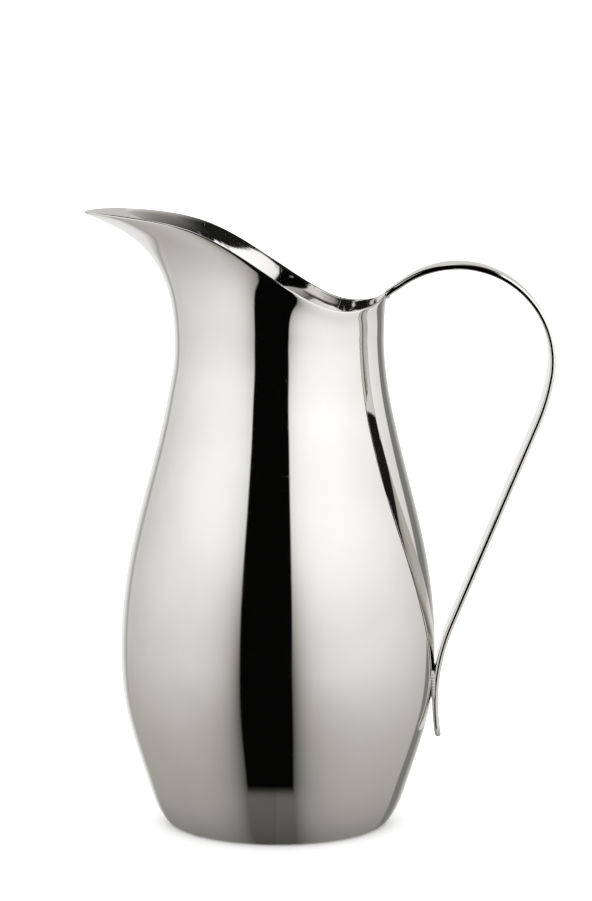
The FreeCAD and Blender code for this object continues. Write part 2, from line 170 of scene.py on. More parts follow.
def outer_wall(rows=ROWS, columns=COLUMNS):
    """A grid of points on the outer wall, foot to rim, and its outward normals."""
    angles = np.arange(columns) * 360.0 / columns
    guides = wall_rows(angles)
    points = around(guides, angles)
    spacing = np.linalg.norm(np.diff(points, axis=0), axis=-1).mean(1)
    knots = np.concatenate([[0.0], np.cumsum(spacing)])
    at = np.linspace(0.0, knots[-1] - RIM_SETBACK * MM, rows)
    grid = around(spline(knots, guides, at), angles)
    nudge = spacing.sum() * 1e-5
    above = around(spline(knots, guides, at + nudge), angles)
    below = around(spline(knots, guides, at - nudge), angles)
    along = above - below
    turned = np.roll(grid, -1, 1) - np.roll(grid, 1, 1)
    normal = np.cross(turned, along)
    normal /= np.linalg.norm(normal, axis=-1, keepdims=True)
    return grid, normal, along / np.linalg.norm(along, axis=-1, keepdims=True)


def grid_mesh(name, rows, materials, close_rows=False, cap_ends=False, open_rows=False, row_material=None):
    """A smooth mesh over rows of points, each row a closed loop unless open_rows. Its faces look
    out of the side that lies on the left of the rows' direction, seen along the loop."""
    rows = np.asarray(rows)
    count, columns = rows.shape[:2]
    mesh = bmesh.new()
    along = mesh.verts.layers.float.new("along")
    across = mesh.verts.layers.float.new("across")
    row_steps = np.linalg.norm(np.diff(rows, axis=0), axis=-1).mean(1)
    row_places = np.concatenate([[0.0], np.cumsum(row_steps)])
    column_steps = np.linalg.norm(np.diff(rows, axis=1), axis=-1).mean(0)
    column_places = np.concatenate([[0.0], np.cumsum(column_steps)])
    grid = []
    for row, place in zip(rows, row_places):
        verts = [mesh.verts.new(point) for point in row]
        for vert, girth in zip(verts, column_places):
            vert[along] = place
            vert[across] = girth
        grid.append(verts)
    for i in range(count if close_rows else count - 1):
        this, after = grid[i], grid[(i + 1) % count]
        for j in range(columns - 1 if open_rows else columns):
            k = (j + 1) % columns
            face = mesh.faces.new((this[j], this[k], after[k], after[j]))
            face.smooth = True
            if row_material:
                face.material_index = row_material[i]
    if cap_ends:
        mesh.faces.new(reversed(grid[0]))
        mesh.faces.new(grid[-1])
    data = bpy.data.meshes.new(name)
    mesh.to_mesh(data)
    mesh.free()
    piece = bpy.data.objects.new(name, data)
    bpy.context.scene.collection.objects.link(piece)
    for material in materials:
        data.materials.append(material)
    return piece


def install(piece, node):
    """Put a finished piece in place of the CAD node that it stands for."""
    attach(piece, "root")
    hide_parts(node)


def ring(radius, height):
    """A circle of points about the axis, in metres, from millimetres."""
    turn = np.arange(COLUMNS) * math.tau / COLUMNS
    return np.stack([radius * np.cos(turn), radius * np.sin(turn), height + 0 * turn], -1) * MM


# ---------------------------------------------------------------- body

RIM_STEPS = 9
FOOT_BEVEL = 0.2
FOOT_LEDGE = 2.5


def make_body(outside, inside):
    """The wall as one closed skin: foot ring, outer wall, rounded rim, inner wall."""
    outer, normal, along = outer_wall()
    wall = WALL * MM
    middle = outer[-1] - normal[-1] * wall / 2
    rim = []
    for turn in np.linspace(0, math.pi, RIM_STEPS)[1:-1]:
        rim.append(middle + (normal[-1] * math.cos(turn) + along[-1] * math.sin(turn)) * wall / 2)
    inner = (outer - normal * wall)[::-1]
    corner = FOOT_INNER_RADIUS
    flat = corner + FOOT_LEDGE
    low = [
        ring(corner, FOOT_BEVEL),
        ring(corner + FOOT_BEVEL / 3, FOOT_BEVEL / 3),
        ring(corner + FOOT_BEVEL, 0.0),
        ring(flat, 0.0),
    ]
    high = [
        ring(flat, WALL),
        ring(corner + FOOT_BEVEL, WALL),
        ring(corner + FOOT_BEVEL / 3, WALL - FOOT_BEVEL / 3),
        ring(corner, WALL - FOOT_BEVEL),
    ]
    rows = low + list(outer) + rim + list(inner) + high
    outer_rows = len(low) + len(outer) + len(rim) - 1
    sides = [0 if i < outer_rows else 1 for i in range(len(rows))]
    piece = grid_mesh("body", rows, (outside, inside), close_rows=True, row_material=sides)
    install(piece, "body_shell")
    return piece


# ---------------------------------------------------------------- handle strap, in mm

STRAP_THICKNESS = 2.5
TOP_BEND = (72.4, 191.6)
TOP_BEND_RADIUS = 38.3
SHOULDER_HEIGHT = 198.8
SHOULDER_RADIUS = 85.0
LOWER_BEND = (148.05, 51.8)
LOWER_BEND_RADIUS = 83.3
TAIL_HEIGHT = 36.6
ROOT_END = (38.0, 215.8)
SEAT_RADIUS = 43.1
ROOT_WIDTH = 9.0
TOP_WIDTH = 27.0
TAIL_WIDTH = 18.0
FLARE_START = 39.0
FLARE_END = 70.0
FLARE_BLEND = 1.5
TAIL_ROUNDING = 4.0
BLANK_MARGIN = 5.0

STRAP_EDGE = 0.95
STRAP_CROWN = 0.08
TAIL_THINNING = 0.8
EDGE_STEPS = 13
FLAT_STEPS = 15
ROOT_RUN = 4.0
ROOT_STEPS = 8
TAIL_STEPS = 16
STRAP_STEP = 0.8


def toward(angle):
    return np.array([math.cos(angle), math.sin(angle)])


def strap_bends():
    """Centres and turning angles of the strap's bends, in the XZ plane."""
    top, low, root = np.array(TOP_BEND), np.array(LOWER_BEND), np.array(ROOT_END)
    turn = -math.asin((SHOULDER_HEIGHT - top[1]) / (SHOULDER_RADIUS - TOP_BEND_RADIUS))
    shoulder = top - toward(turn) * (SHOULDER_RADIUS - TOP_BEND_RADIUS)
    run = low - shoulder
    join = math.atan2(run[1], run[0])
    join += math.acos((SHOULDER_RADIUS + LOWER_BEND_RADIUS) / np.linalg.norm(run))
    tail = math.pi + math.asin((low[1] - TAIL_HEIGHT) / LOWER_BEND_RADIUS)
    outward = root - top
    start = math.atan2(outward[1], outward[0])
    start -= math.acos((TOP_BEND_RADIUS + STRAP_THICKNESS / 2) / np.linalg.norm(outward))
    return top, shoulder, low, root, start, turn, join, tail


def strap_line():
    """The strap's middle line as stretches: length, and place and heading by distance."""
    top, shoulder, low, root, start, turn, join, tail = strap_bends()

    def straight(first, last):
        length = np.linalg.norm(last - first)
        heading = (last - first) / length
        return length, lambda s: (first + heading * s, heading)

    def bend(centre, radius, first, last):
        side = math.copysign(1, last - first)

        def place(s):
            outward = toward(first + side * s / radius)
            return centre + outward * radius, side * np.array([-outward[1], outward[0]])

        return radius * abs(last - first), place

    middle = root - toward(start) * STRAP_THICKNESS / 2
    return [
        straight(middle, top + toward(start) * TOP_BEND_RADIUS),
        bend(top, TOP_BEND_RADIUS, start, turn),
        bend(shoulder, SHOULDER_RADIUS, turn, join),
        straight(shoulder + toward(join) * SHOULDER_RADIUS, low - toward(join) * LOWER_BEND_RADIUS),
        bend(low, LOWER_BEND_RADIUS, join + math.pi, tail),
    ]


def on_strap(stretches, distance):
    """Place and heading at a distance along the strap's middle line."""
    for length, place in stretches[:-1]:
        if distance <= length:
            return place(distance)
        distance -= length
    return stretches[-1][1](distance)


def strap_half_width(x, z):
    """Half the strap's width where its middle line passes x, z."""
    flare = (TOP_WIDTH - ROOT_WIDTH) / 2 / (FLARE_END - FLARE_START)
    plan = ROOT_WIDTH / 2 + flare * min(max(x - FLARE_START, 0), FLARE_END - FLARE_START)
    bottom = TAIL_HEIGHT - BLANK_MARGIN
    top = SHOULDER_HEIGHT + TOP_BEND_RADIUS
    front = TAIL_WIDTH / 2 + (TOP_WIDTH - TAIL_WIDTH) / 2 * (z - bottom) / (top - bottom)
    overlap = max(FLARE_BLEND - abs(plan - front), 0)
    return min(plan, front) - overlap**2 / (4 * FLARE_BLEND)


def rounded_end(distance, radius):
    """How far a rounded corner pulls a side in, by the distance from the end."""
    inside = max(radius - distance, 0)
    return radius - math.sqrt(radius**2 - inside**2)


def strap_section(half_width, half_thickness):
    """A slightly crowned strip with round edges: across, and out of the loop."""
    edge = STRAP_EDGE * 2 * half_thickness / STRAP_THICKNESS
    crown = STRAP_CROWN * 2 * half_thickness / STRAP_THICKNESS
    shoulder = half_thickness - crown
    flat = half_width - edge
    turn = np.linspace(0, math.pi, EDGE_STEPS)
    share = np.linspace(-1, 1, FLAT_STEPS)[1:-1]
    side = flat + edge * np.sin(turn)
    rise = shoulder * np.cos(turn)
    top = shoulder + crown * (1 - share**2)
    across = np.concatenate([-share * flat, -side, share * flat, side[::-1]])
    out = np.concatenate([top, rise, -top, rise[::-1]])
    return across, out


def make_strap(material):
    """The handle: a bent strip that flares from its root, with a rounded free tail."""
    stretches = strap_line()
    total = sum(length for length, _ in stretches)
    seat = (SEAT_RADIUS - ROOT_END[0]) / on_strap(stretches, 0.0)[1][0]
    root = np.linspace(seat, seat + ROOT_RUN, ROOT_STEPS, endpoint=False)
    tail = total - TAIL_ROUNDING * (1 - np.sin(np.linspace(0, math.pi / 2, TAIL_STEPS)))
    middle = np.linspace(seat + ROOT_RUN, tail[0], int((tail[0] - seat) / STRAP_STEP), endpoint=False)
    rows = []
    for distance in np.concatenate([root, middle, tail]):
        (x, z), heading = on_strap(stretches, distance)
        out_x, out_z = -heading[1], heading[0]
        half_width = strap_half_width(x, z) - rounded_end(total - distance, TAIL_ROUNDING)
        half_thickness = STRAP_THICKNESS / 2 - rounded_end(total - distance, STRAP_EDGE) * TAIL_THINNING
        across, out = strap_section(half_width, half_thickness)
        place = np.stack([x + out * out_x, across, z + out * out_z], -1)
        # Near the root each point slides along the strap, onto the round seat on the wall.
        slide = max(1 - (distance - seat) / ROOT_RUN, 0)
        gap = np.sqrt(SEAT_RADIUS**2 - across**2) - place[:, 0]
        place[:, 0] += slide * gap
        place[:, 2] += slide * gap * heading[1] / heading[0]
        rows.append(place * MM)
    piece = grid_mesh("handle_strap_polished", rows, (material,), cap_ends=True)
    install(piece, "handle_strap")
    return piece


# ---------------------------------------------------------------- weld beads, in mm

RIPPLE_PITCH = 1.2
RIPPLE_HEIGHT = 0.07
BEAD_SIDES = 28
BEAD_END = 0.999
BEAD_BLUNTNESS = 2.5


def bead(name, centres, frames, radii, node, material):
    """A rippled bead along centres, with a cross-section's two directions and radii."""
    turn = np.arange(BEAD_SIDES) * math.tau / BEAD_SIDES
    length = np.concatenate([[0.0], np.cumsum(np.linalg.norm(np.diff(centres, axis=0), axis=1))])
    share = np.clip(2 * length / length[-1] - 1, -BEAD_END, BEAD_END)
    taper = np.sqrt(1 - np.abs(share) ** BEAD_BLUNTNESS)
    ripple = 1 + RIPPLE_HEIGHT * np.abs(np.sin(math.pi * length / RIPPLE_PITCH))
    rows = []
    for centre, (first, second), size in zip(centres, frames, taper * ripple):
        circle = np.outer(np.cos(turn) * radii[0], first) + np.outer(np.sin(turn) * radii[1], second)
        rows.append((centre + circle * size) * MM)
    piece = grid_mesh(name, rows, (material,), cap_ends=True)
    install(piece, node)
    return piece


ROOT_BEAD_BEND = 31.0
# The visible root bead is slimmer than the CAD solid that it stands for, whose radius is 1.25.
ROOT_BEAD_RADIUS = 0.8
ROOT_BEAD_SPREAD = 11.0
ROOT_BEAD_PLACE = (44.0, 0.0, 217.0)
SIDE_BEAD_PLACE = (63.85, 9.2, 58.5)
SIDE_BEAD_LENGTH = 13.0
SIDE_BEAD_RADII = (0.9, 1.7)
BEAD_STEPS = 70


def make_upper_weld(material):
    """The bead under the strap's root, curved round the wall and leaning with the strap."""
    heading = on_strap(strap_line(), 0.0)[1]
    forward = np.array([heading[0], 0.0, heading[1]])
    sideways = np.array([0.0, 1.0, 0.0])
    upward = np.array([-heading[1], 0.0, heading[0]])
    centre = np.array(ROOT_BEAD_PLACE) - forward * ROOT_BEAD_BEND
    centres, frames = [], []
    for turn in np.radians(np.linspace(-ROOT_BEAD_SPREAD, ROOT_BEAD_SPREAD, BEAD_STEPS)):
        outward = forward * math.cos(turn) + sideways * math.sin(turn)
        centres.append(centre + outward * ROOT_BEAD_BEND)
        frames.append((upward, outward))
    radii = (ROOT_BEAD_RADIUS, ROOT_BEAD_RADIUS)
    return bead("root_weld_bead", centres, frames, radii, "upper_handle_weld", material)


def make_lower_weld(name, node, side, material):
    """A bead up one edge of the strap, where it lies on the belly."""
    heights = np.linspace(-0.5, 0.5, BEAD_STEPS) * SIDE_BEAD_LENGTH
    middle = np.array(SIDE_BEAD_PLACE) * (1, side, 1)
    centres = [middle + (0, 0, height) for height in heights]
    frames = [(np.array([1.0, 0.0, 0.0]), np.array([0.0, 1.0, 0.0]))] * BEAD_STEPS
    return bead(name, centres, frames, SIDE_BEAD_RADII, node, material)


# ---------------------------------------------------------------- base, in mm

DISC_EDGE_RADIUS = 40.2
DISC_THICKNESS = 1.0
STEP_FOOT_RADIUS = 34.5
STEP_TOP_RADIUS = 31.0
STEP_HEIGHT = 2.0
STEP_SLOPE_SHIFT = 0.5
DISC_MIDDLE = 0.5
DISC_BEND = 0.9
DISC_CORNER = 0.25
SEAM_BEAD = 0.8
SEAM_RIPPLES = 150
SEAM_RIPPLE_HEIGHT = 0.12
SEAM_ROUNDNESS = 0.8
SEAM_STEPS = 8
CORNER_STEPS = 6


def softened(corners):
    """An outline whose inner corners are rounded: each corner is a place and a rounding."""
    places = [np.array(place) for place, _ in corners]
    points = [places[0]]
    for before, corner, after, (_, rounding) in zip(places, places[1:], places[2:], corners[1:]):
        first = corner + (before - corner) * rounding / np.linalg.norm(before - corner)
        last = corner + (after - corner) * rounding / np.linalg.norm(after - corner)
        for t in np.linspace(0, 1, CORNER_STEPS):
            points.append((1 - t) ** 2 * first + 2 * t * (1 - t) * corner + t**2 * last)
    return points + [places[-1]]


def make_base_disc(material):
    """The pressed disc that closes the foot, from its lower middle round to its upper one."""
    low, high = WALL, WALL + DISC_THICKNESS
    profile = softened([
        ((DISC_MIDDLE, low + STEP_HEIGHT), 0.0),
        ((STEP_TOP_RADIUS, low + STEP_HEIGHT), DISC_BEND),
        ((STEP_FOOT_RADIUS, low), DISC_BEND),
        ((DISC_EDGE_RADIUS, low), DISC_CORNER),
        ((DISC_EDGE_RADIUS, high), DISC_CORNER),
        ((STEP_FOOT_RADIUS + STEP_SLOPE_SHIFT, high), DISC_BEND),
        ((STEP_TOP_RADIUS + STEP_SLOPE_SHIFT, high + STEP_HEIGHT), DISC_BEND),
        ((DISC_MIDDLE, high + STEP_HEIGHT), 0.0),
    ])
    rows = [ring(radius, height) for radius, height in profile]
    piece = grid_mesh("base_disc_pressed", rows, (material,), cap_ends=True)
    install(piece, "base_disc")
    return piece


def make_seam_weld(material):
    """The bead round the underside, in the corner between foot ring and disc."""
    waves = np.abs(np.sin(np.arange(COLUMNS) * math.pi * SEAM_RIPPLES / COLUMNS))
    ripple = 1 + SEAM_RIPPLE_HEIGHT * waves
    rows = []
    for turn in np.linspace(0, math.pi / 2, SEAM_STEPS):
        inward = SEAM_BEAD * math.cos(turn) ** SEAM_ROUNDNESS * ripple
        down = SEAM_BEAD * math.sin(turn) ** SEAM_ROUNDNESS * ripple
        circle = ring(1.0, 0.0) / MM
        radius = FOOT_INNER_RADIUS - np.minimum(inward, SEAM_BEAD)
        height = WALL - np.minimum(down, SEAM_BEAD)
        rows.append(np.stack([circle[:, 0] * radius, circle[:, 1] * radius, height], -1) * MM)
    rows.append(ring(FOOT_INNER_RADIUS, WALL))
    piece = grid_mesh("base_seam_bead", rows, (material,), close_rows=True)
    install(piece, "base_seam_weld")
    return piece


# ---------------------------------------------------------------- materials

FINE_LINES = 2600.0
SLOW_DRIFT = 14.0
SCRATCH_SCALES = ((150.0, 1500.0, 35.0), (1200.0, 110.0, 180.0))
SCRATCH_LEVELS = (0.72, 0.76)
SMUDGE_SCALE = 38.0
SMUDGE_LEVELS = (0.52, 0.75)
SMUDGE_ROUGHNESS = 0.025
TINT_SCALE = 22.0
TINT_LEVELS = (0.35, 0.7)
DULL_SHARE = 0.93
LINE_LEVELS = (0.3, 0.7)
WAVE_SCALE = 45.0
WORN_HEIGHTS = (0.0005, 0.003)
WORN_ROUGHNESS = 0.22
MIRROR_COLOUR = (0.81, 0.80, 0.775)
INNER_COLOUR = (0.80, 0.79, 0.77)
SATIN_COLOUR = (0.66, 0.65, 0.63)
WELD_COLOUR = (0.76, 0.75, 0.73)
STRAW_COLOUR = (0.70, 0.67, 0.62)
BLUE_COLOUR = (0.60, 0.61, 0.64)
WELD_ROUGHNESS = (0.08, 0.22)
WELD_PITS = 0.00002


class Nodes:
    """A material's node tree, with short calls for the nodes that the steels are made of."""

    def __init__(self, name):
        self.material = bpy.data.materials.new(name)
        self.material.use_nodes = True
        self.tree = self.material.node_tree
        self.shader = self.tree.nodes["Principled BSDF"]

    def set(self, socket, value):
        """Link a socket to another node's output, or give it a plain value."""
        if isinstance(value, bpy.types.NodeSocket):
            self.tree.links.new(value, socket)
        else:
            socket.default_value = value

    def add(self, kind, settings=(), **inputs):
        node = self.tree.nodes.new(kind)
        for name, value in dict(settings).items():
            setattr(node, name, value)
        for name, value in inputs.items():
            self.set(node.inputs[name.replace("_", " ")], value)
        return node

    def place(self):
        return self.add("ShaderNodeTexCoord").outputs["Object"]

    def attribute(self, name):
        return self.add("ShaderNodeAttribute", {"attribute_name": name}).outputs["Fac"]

    def math(self, operation, first, second=0.0):
        node = self.add("ShaderNodeMath", {"operation": operation})
        self.set(node.inputs[0], first)
        self.set(node.inputs[1], second)
        return node.outputs[0]

    def stretched(self, vector, scale):
        node = self.add("ShaderNodeVectorMath", {"operation": "MULTIPLY"})
        self.set(node.inputs[0], vector)
        self.set(node.inputs[1], scale)
        return node.outputs[0]

    def moved(self, vector, amount):
        node = self.add("ShaderNodeVectorMath", {"operation": "ADD"})
        self.set(node.inputs[0], vector)
        self.set(node.inputs[1], amount)
        return node.outputs[0]

    def noise(self, vector, scale, detail=3.0, rough=0.5):
        node = self.add("ShaderNodeTexNoise", Vector=vector, Scale=scale, Detail=detail, Roughness=rough)
        return node.outputs[0]

    def levels(self, value, low, high, first=0.0, last=1.0):
        """Map low..high to first..last, held level outside."""
        node = self.add("ShaderNodeMapRange", {"interpolation_type": "SMOOTHSTEP"}, Value=value)
        for name, level in (("From Min", low), ("From Max", high), ("To Min", first), ("To Max", last)):
            node.inputs[name].default_value = level
        return node.outputs[0]

    def blend(self, share, first, second):
        """A mix of two colours."""
        node = self.add("ShaderNodeMix", {"data_type": "RGBA"})
        self.set(node.inputs[0], share)
        self.set(node.inputs[6], (*first, 1.0) if isinstance(first, tuple) else first)
        self.set(node.inputs[7], (*second, 1.0) if isinstance(second, tuple) else second)
        return node.outputs[2]

    def bump(self, height, distance, normal=None):
        node = self.add("ShaderNodeBump", Height=height, Distance=distance)
        if normal is not None:
            self.set(node.inputs["Normal"], normal)
        return node.outputs[0]


def fine_lines(nodes, attribute):
    """Fine parallel lines, close together along one attribute and drifting slowly over the piece."""
    close = nodes.math("MULTIPLY", nodes.attribute(attribute), FINE_LINES)
    drift = nodes.stretched(nodes.place(), (SLOW_DRIFT,) * 3)
    return nodes.noise(nodes.moved(drift, close), 1.0, 2.0)


def scratches(nodes):
    """Sparse hairline scratches in two slanting directions."""
    marks = []
    for scale in SCRATCH_SCALES:
        hairs = nodes.noise(nodes.stretched(nodes.place(), scale), 1.0, 1.0)
        marks.append(nodes.levels(hairs, *SCRATCH_LEVELS))
    return nodes.math("MAXIMUM", *marks)


def steel(
    name,
    colour,
    roughness,
    lines,
    line_height,
    waviness,
    attribute="along",
    foot_wear=False,
    scratched=0.04,
):
    """Polished or satin steel: wavy sheet, fine polishing lines, smudges and hairline scratches."""
    nodes = Nodes(name)
    place = nodes.place()
    streaks = fine_lines(nodes, attribute)
    smudges = nodes.levels(nodes.noise(place, SMUDGE_SCALE, 5.0, 0.6), *SMUDGE_LEVELS)
    hairs = scratches(nodes)
    dull = tuple(DULL_SHARE * part for part in colour)
    patches = nodes.levels(nodes.noise(place, TINT_SCALE, 4.0), *TINT_LEVELS)
    tint = nodes.blend(patches, colour, dull)
    nodes.set(nodes.shader.inputs["Base Color"], tint)

    rough = nodes.levels(streaks, *LINE_LEVELS, roughness, roughness + lines)
    rough = nodes.math("ADD", rough, nodes.math("MULTIPLY", smudges, SMUDGE_ROUGHNESS))
    rough = nodes.math("ADD", rough, nodes.math("MULTIPLY", hairs, scratched))
    if foot_wear:
        height = nodes.add("ShaderNodeSeparateXYZ", Vector=place).outputs["Z"]
        worn = nodes.levels(height, *WORN_HEIGHTS, WORN_ROUGHNESS, 0.0)
        rough = nodes.math("ADD", rough, worn)
    nodes.set(nodes.shader.inputs["Roughness"], rough)

    normal = nodes.bump(nodes.noise(place, WAVE_SCALE, 1.0), waviness)
    normal = nodes.bump(streaks, line_height, normal)
    nodes.set(nodes.shader.inputs["Normal"], normal)
    nodes.shader.inputs["Metallic"].default_value = 1.0
    return nodes.material


def weld_steel(name):
    """Welded metal: duller, pitted, with a faint straw and blue tint from the heat."""
    nodes = Nodes(name)
    place = nodes.place()
    grain = nodes.noise(place, 900.0, 3.0)
    warm = nodes.levels(nodes.noise(place, 260.0, 2.0), *TINT_LEVELS)
    tint = nodes.blend(warm, WELD_COLOUR, STRAW_COLOUR)
    cool = nodes.levels(nodes.noise(place, 170.0, 2.0, 0.4), 0.58, 0.75)
    nodes.set(nodes.shader.inputs["Base Color"], nodes.blend(cool, tint, BLUE_COLOUR))
    nodes.set(nodes.shader.inputs["Roughness"], nodes.levels(grain, *LINE_LEVELS, *WELD_ROUGHNESS))
    nodes.set(nodes.shader.inputs["Normal"], nodes.bump(grain, WELD_PITS))
    nodes.shader.inputs["Metallic"].default_value = 1.0
    return nodes.material


# ---------------------------------------------------------------- camera, floor and studio

CAMERA_BEARING = math.radians(2.0)
CAMERA_PITCH = math.radians(7.2)
CAMERA_ROLL = math.radians(0.2765)
CAMERA_DISTANCE = 1.2505
CAMERA_HEIGHT = 0.3116
CAMERA_SIDESTEP = 0.00697
LENS = 123.3
SENSOR_WIDTH = 36.0
WORLD_BRIGHTNESS = 1.8
FLOOR_SIZE = 40.0
FLOOR_COLOUR = (0.95, 0.95, 0.95, 1.0)


def make_camera():
    """A long lens a little above the lip, looking slightly down."""
    data = bpy.data.cameras.new("camera")
    data.lens = LENS
    data.sensor_width = SENSOR_WIDTH
    data.clip_start = 0.05
    data.clip_end = 50.0
    camera = bpy.data.objects.new("camera", data)
    bpy.context.scene.collection.objects.link(camera)
    turn = Matrix.Rotation(CAMERA_BEARING, 4, "Z")
    tilt = Matrix.Rotation(math.pi / 2 - CAMERA_PITCH, 4, "X")
    roll = Matrix.Rotation(CAMERA_ROLL, 4, "Z")
    place = turn @ Vector((CAMERA_SIDESTEP, -CAMERA_DISTANCE, CAMERA_HEIGHT))
    camera.matrix_world = Matrix.Translation(place) @ turn @ tilt @ roll
    bpy.context.scene.camera = camera


def make_world(brightness):
    """A plain white surround. Polished steel doesn't see it: the tent below is its surround."""
    world = bpy.data.worlds.new("studio")
    world.use_nodes = True
    world.node_tree.nodes["Background"].inputs["Color"].default_value = (1.0, 1.0, 1.0, 1.0)
    world.node_tree.nodes["Background"].inputs["Strength"].default_value = brightness
    world.cycles_visibility.glossy = False
    bpy.context.scene.world = world


def make_floor():
    bpy.ops.mesh.primitive_plane_add(size=FLOOR_SIZE, location=(0, 0, 0))
    floor = bpy.context.active_object
    floor.name = "floor"
    floor.visible_glossy = False
    nodes = Nodes("pale_floor")
    nodes.shader.inputs["Base Color"].default_value = FLOOR_COLOUR
    nodes.shader.inputs["Roughness"].default_value = 0.9
    nodes.shader.inputs["Specular IOR Level"].default_value = 0.0
    floor.data.materials.append(nodes.material)


# The pitcher stands in a round tent of lit white cloth: a floor, a wall and a low roof. Places on
# the cloth are a bearing, in degrees round to the right from the camera, and the distance along
# the cloth from the axis: out over the floor, up the wall, and back in over the roof.
TENT_RADIUS = 0.45
TENT_HEIGHT = 0.60
TENT_DROP = 0.0005
TENT_STEP = 0.5
MIDDLE = 0.001
FLOOR_START = 0.040
FLOOR_ROWS = 170
FLOOR_CROWDING = 1.6
WALL_ROWS = 40
ROOF_ROWS = 24
WALL_TOP = TENT_RADIUS + TENT_HEIGHT

# The cloth is dimmest beside the foot, where its glow holds painted shade: the pitcher's shadow on the
# floor, painted in. It grows brighter outwards and up the wall, and on the right.
FLOOR_GLOW = 0.81
FLOOR_POWER = 0.3
WALL_RISE = 1.3
TOP_GLOW = 1.2
RIGHT_GAIN = 1.1
FOOT_RADIUS = 0.046
PAINTED_FOOT_SHADE = 0.35
FOOT_SHADE_REACH = 0.015
SIDE_DIMMING = 0.25
SIDE_DIMMING_FROM = (50, 125)
SIDE_DIMMING_POWER = 1.5
# The dark gap that the camera looks through, shaded on both sides.
GAP_LEFT = -27.4
GAP_RIGHT = 10.2
GAP_OFFSET = 0.013
GAP_FOOT = 0.075
GAP_TOP = 0.84
GAP_GLOW = 0.002
GAP_SOFT_SIDE = 1.0
GAP_SOFT_FOOT = 0.005
GAP_SOFT_TOP = 0.02
GAP_SHADE = 0.82
GAP_SHADE_WIDTH = 10.5
# The shade weakens by these amounts between these distances: near the foot, and up the wall.
SHADE_LESS_LOW = 0.12
SHADE_LOW = (0.082, 0.072)
SHADE_LESS_HIGH = 0.57
SHADE_HIGH = (TENT_RADIUS, 0.75)
# The bright backdrop behind the pitcher, past a seam on the left and a dark panel on the right.
BACKDROP_GLOW = (0.90, 0.64)
BACKDROP_STEP = (0.64, 0.72)
BACK_START = 139.0
SEAM = 146.0
SEAM_OFFSET = 0.052
SEAM_GLOW = 0.42
SEAM_FADE = 11
SEAM_SOFT = 4
PANEL = 138.2
PANEL_OFFSET = 0.060
PANEL_GLOW = 0.22
PANEL_WIDTH = 12.0
PANEL_FADE = 24.0
PANEL_SOFT = 2.0
# The lit cloth's upper edge, on the left, in front and rising round to the right.
LIT_TOP_LEFT = 0.93
LIT_TOP_FRONT = 0.765
LIT_TOP_RIGHT = 1.20
LIT_TOP_CLIMB = 0.0004
LIT_TOP_POWER = 1.75
LEFT_EDGE = -20
# The dark cloth above it, and the strip of light overhead.
DARK_GLOW = 0.013
STRIP_GLOW = 1.1
STRIP_WIDTH = 0.10
STRIP_POWER = 2.4
STRIP_START = -0.2
# A stretch of cloth that the handle doesn't reflect, by bearing.
SHADED_STRETCH = (-45.0, 26.0)


def ramp(value, first, last):
    """0 at first and 1 at last, held level outside."""
    return np.clip((value - first) / (last - first), 0, 1)


def mix(first, second, share):
    return first + share * (second - first)


def turned_in(radius, offset):
    """How far, in degrees, an edge that passes beside the axis has turned at a radius."""
    return np.degrees(offset / np.maximum(radius, FLOOR_START))


def plain_glow(bearing, distance):
    """The lit cloth with nothing in it."""
    # Painted shade: the floor's glow dims in towards the foot, and more just beside it, for the pitcher's
    # shadow on the floor.
    floor = FLOOR_GLOW * (np.minimum(distance, TENT_RADIUS) / TENT_RADIUS) ** FLOOR_POWER
    floor = floor * (1 - PAINTED_FOOT_SHADE * np.exp(-np.maximum(distance - FOOT_RADIUS, 0) / FOOT_SHADE_REACH))
    glow = np.minimum(floor + WALL_RISE * np.maximum(distance - TENT_RADIUS, 0), TOP_GLOW)
    glow = glow * np.where(bearing < 0, 1.0, RIGHT_GAIN)
    aside = ramp(np.abs(bearing), *SIDE_DIMMING_FROM) ** SIDE_DIMMING_POWER
    return glow * (1 - SIDE_DIMMING * aside)


def with_backdrop(glow, bearing, distance, radius):
    """The lit cloth with the backdrop, the seam on its left and the panel on its right."""
    side = np.abs(bearing)
    backdrop = mix(*BACKDROP_GLOW, ramp(distance, *BACKDROP_STEP))
    past_seam = side - SEAM + turned_in(radius, SEAM_OFFSET)
    left = mix(SEAM_GLOW, backdrop, ramp(past_seam, 0, SEAM_FADE))
    left = mix(left, glow, ramp(-past_seam, 0, SEAM_SOFT))

    past_panel = bearing - PANEL + turned_in(radius, PANEL_OFFSET)
    panel = mix(PANEL_GLOW, backdrop, ramp(past_panel, PANEL_WIDTH, PANEL_WIDTH + PANEL_FADE))
    right = mix(glow, panel, ramp(past_panel, 0, PANEL_SOFT))
    return np.where(bearing < 0, left, right)


def roof_glow(bearing, radius):
    """A soft strip of light overhead and to the back."""
    across = np.abs(radius * np.sin(np.radians(bearing)))
    behind = -radius * np.cos(np.radians(bearing))
    strip = STRIP_GLOW * np.exp(-((across / STRIP_WIDTH) ** STRIP_POWER)) * ramp(behind, STRIP_START, 0)
    return DARK_GLOW + strip


